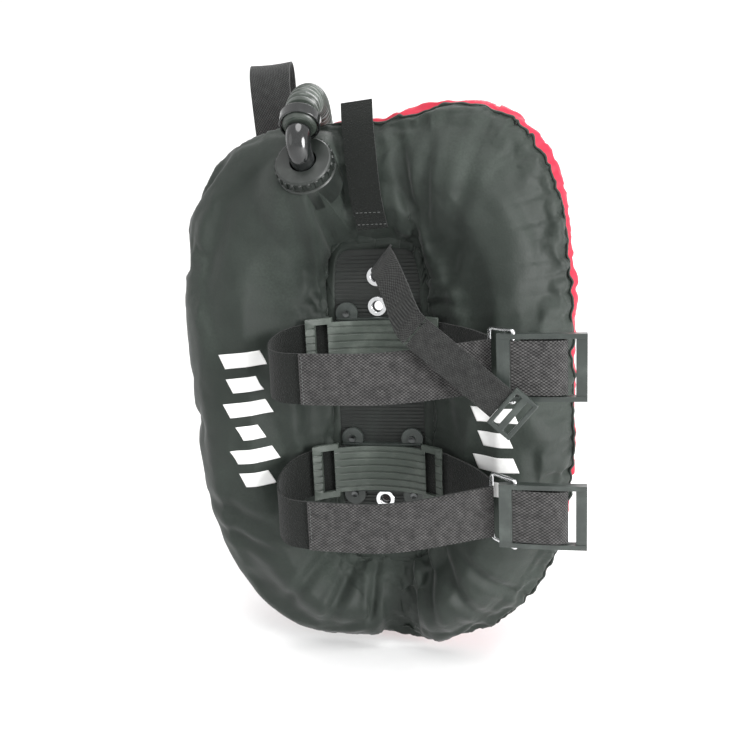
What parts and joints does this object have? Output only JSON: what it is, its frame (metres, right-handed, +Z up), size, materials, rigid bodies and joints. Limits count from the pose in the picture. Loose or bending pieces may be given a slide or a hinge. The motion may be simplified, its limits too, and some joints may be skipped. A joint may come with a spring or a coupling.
{
  "type": "buoyancy compensator vest",
  "caption": "Inflatable diving wing on a backplate harness, with a ribbed centre panel, tank cradles, cam bands with over-centre lever buckles, a valve strap, a corrugated hose and an inflator.",
  "frame": {"origin": "the middle of the ribbed centre panel's tank-side face, where the cylinder is strapped", "axes": "+Z up the diver's back, +X to the right as the tank side is looked at (the buckle side), -Y out towards the tank, +Y towards the diver"},
  "size_m": [0.427, 0.3171, 0.6515],
  "materials": {
    "black_nylon": "puckered coated pack cloth",
    "red_nylon": "coated pack cloth",
    "bladder_film": "satin film",
    "ribbed_panel": "ribbed rubber",
    "steel": "polished stainless steel",
    "buckle_plastic": "satin moulded nylon",
    "black_webbing": "herringbone webbing",
    "loop_tape": "looped fastening tape",
    "black_plastic": "glossy moulded plastic",
    "hose_rubber": "moulded rubber",
    "red_plastic": "glossy moulded plastic",
    "plate_metal": "satin black coating",
    "white_print": "flat printed marks"
  },
  "bodies": {
    "vest": {"wing_front_skin": "black_nylon", "wing_back_skin": "red_nylon", "air_bladder": "bladder_film", "centre_panel": "ribbed_panel", "grommet_top": "steel", "grommet_upper": "steel", "grommet_lower": "steel", "grommet_bottom": "steel", "cradle_screw_upper_1": "steel", "cradle_screw_upper_2": "steel", "cradle_screw_upper_3": "steel", "cradle_screw_upper_4": "steel", "cradle_screw_lower_1": "steel", "cradle_screw_lower_2": "steel", "cradle_screw_lower_3": "steel", "cradle_screw_lower_4": "steel", "bail_upper": "steel", "bail_lower": "steel", "gas_nipple": "steel", "waist_buckle_frame": "steel", "cradle_base_upper": "buckle_plastic", "cradle_saddle_upper": "buckle_plastic", "cradle_base_lower": "buckle_plastic", "cradle_saddle_lower": "buckle_plastic", "d_ring_slide_left": "buckle_plastic", "d_ring_slide_right": "buckle_plastic", "cam_band_upper": "black_webbing", "cam_band_tail_upper": "black_webbing", "cam_band_lower": "black_webbing", "cam_band_tail_lower": "black_webbing", "valve_strap_upper": "black_webbing", "valve_strap_front": "black_webbing", "shoulder_strap_left": "black_webbing", "shoulder_strap_right": "black_webbing", "waist_belt_left": "black_webbing", "waist_belt_right": "black_webbing", "port_flange": "black_plastic", "port_elbow": "black_plastic", "inflator_body": "black_plastic", "hose_clamp_port": "black_plastic", "hose_clamp_inflator": "black_plastic", "dump_valve_base": "black_plastic", "inflation_hose": "hose_rubber", "mouthpiece": "hose_rubber", "backplate": "plate_metal"},
    "upper_lever": {"cam_lever_upper": "buckle_plastic", "slack_webbing_upper": "black_webbing"},
    "lower_lever": {"cam_lever_lower": "buckle_plastic", "slack_webbing_lower": "black_webbing"},
    "strap_tail": {"valve_strap_tail": "black_webbing", "triglide": "buckle_plastic"},
    "port_ring": {"port_ring": "black_plastic"},
    "inflate_button": {"inflate_button": "red_plastic", "inflate_button_stem": "steel"},
    "deflate_button": {"deflate_button": "black_plastic", "deflate_button_stem": "steel"},
    "d_ring_left": {"d_ring_left": "steel"},
    "d_ring_right": {"d_ring_right": "steel"},
    "waist_flap": {"waist_buckle_flap": "steel"},
    "dump_plunger": {"dump_valve_plunger": "red_plastic"}
  },
  "joints": [
    {"name": "upper_lever_turn", "type": "hinge", "parent": "vest", "child": "upper_lever", "pos_m": [0.15, -0.112, 0.0627], "axis": [0, 0, -1], "range_deg": [0, 165]},
    {"name": "lower_lever_turn", "type": "hinge", "parent": "vest", "child": "lower_lever", "pos_m": [0.15, -0.112, -0.0795], "axis": [0, 0, -1], "range_deg": [0, 165]},
    {"name": "strap_tail_lift", "type": "hinge", "parent": "vest", "child": "strap_tail", "pos_m": [0.062, -0.122, 0.098], "axis": [-0.6459, 0, -0.7634], "range_deg": [0, 70]},
    {"name": "port_ring_turn", "type": "hinge", "parent": "vest", "child": "port_ring", "pos_m": [-0.052, -0.058, 0.25], "axis": [0, -0.8191, 0.5736], "continuous": true},
    {"name": "inflate_button_press", "type": "slide", "parent": "vest", "child": "inflate_button", "axis": [0, -1, 0], "range_m": [0, 0.003], "stiffness_N_per_m": 800},
    {"name": "deflate_button_press", "type": "slide", "parent": "vest", "child": "deflate_button", "axis": [0, 0, 1], "range_m": [0, 0.004], "stiffness_N_per_m": 600},
    {"name": "d_ring_left_swing", "type": "hinge", "parent": "vest", "child": "d_ring_left", "pos_m": [-0.14045, 0.17342, 0.21279], "axis": [0.9691, -0.2305, 0.0878], "range_deg": [0, 120]},
    {"name": "d_ring_right_swing", "type": "hinge", "parent": "vest", "child": "d_ring_right", "pos_m": [0.11234, 0.167, 0.12642], "axis": [0.9715, 0.2252, -0.0738], "range_deg": [0, 120]},
    {"name": "waist_flap_open", "type": "hinge", "parent": "vest", "child": "waist_flap", "pos_m": [-0.026, 0.1666, -0.145], "axis": [0, 0, 1], "range_deg": [0, 100]},
    {"name": "dump_valve_pull", "type": "slide", "parent": "vest", "child": "dump_plunger", "axis": [0, 1, 0], "range_m": [0, 0.003], "stiffness_N_per_m": 300}
  ],
  "couplings": [
    {"joint": "strap_tail_lift", "follows": "upper_lever_turn", "ratio": 0.42}
  ]
}
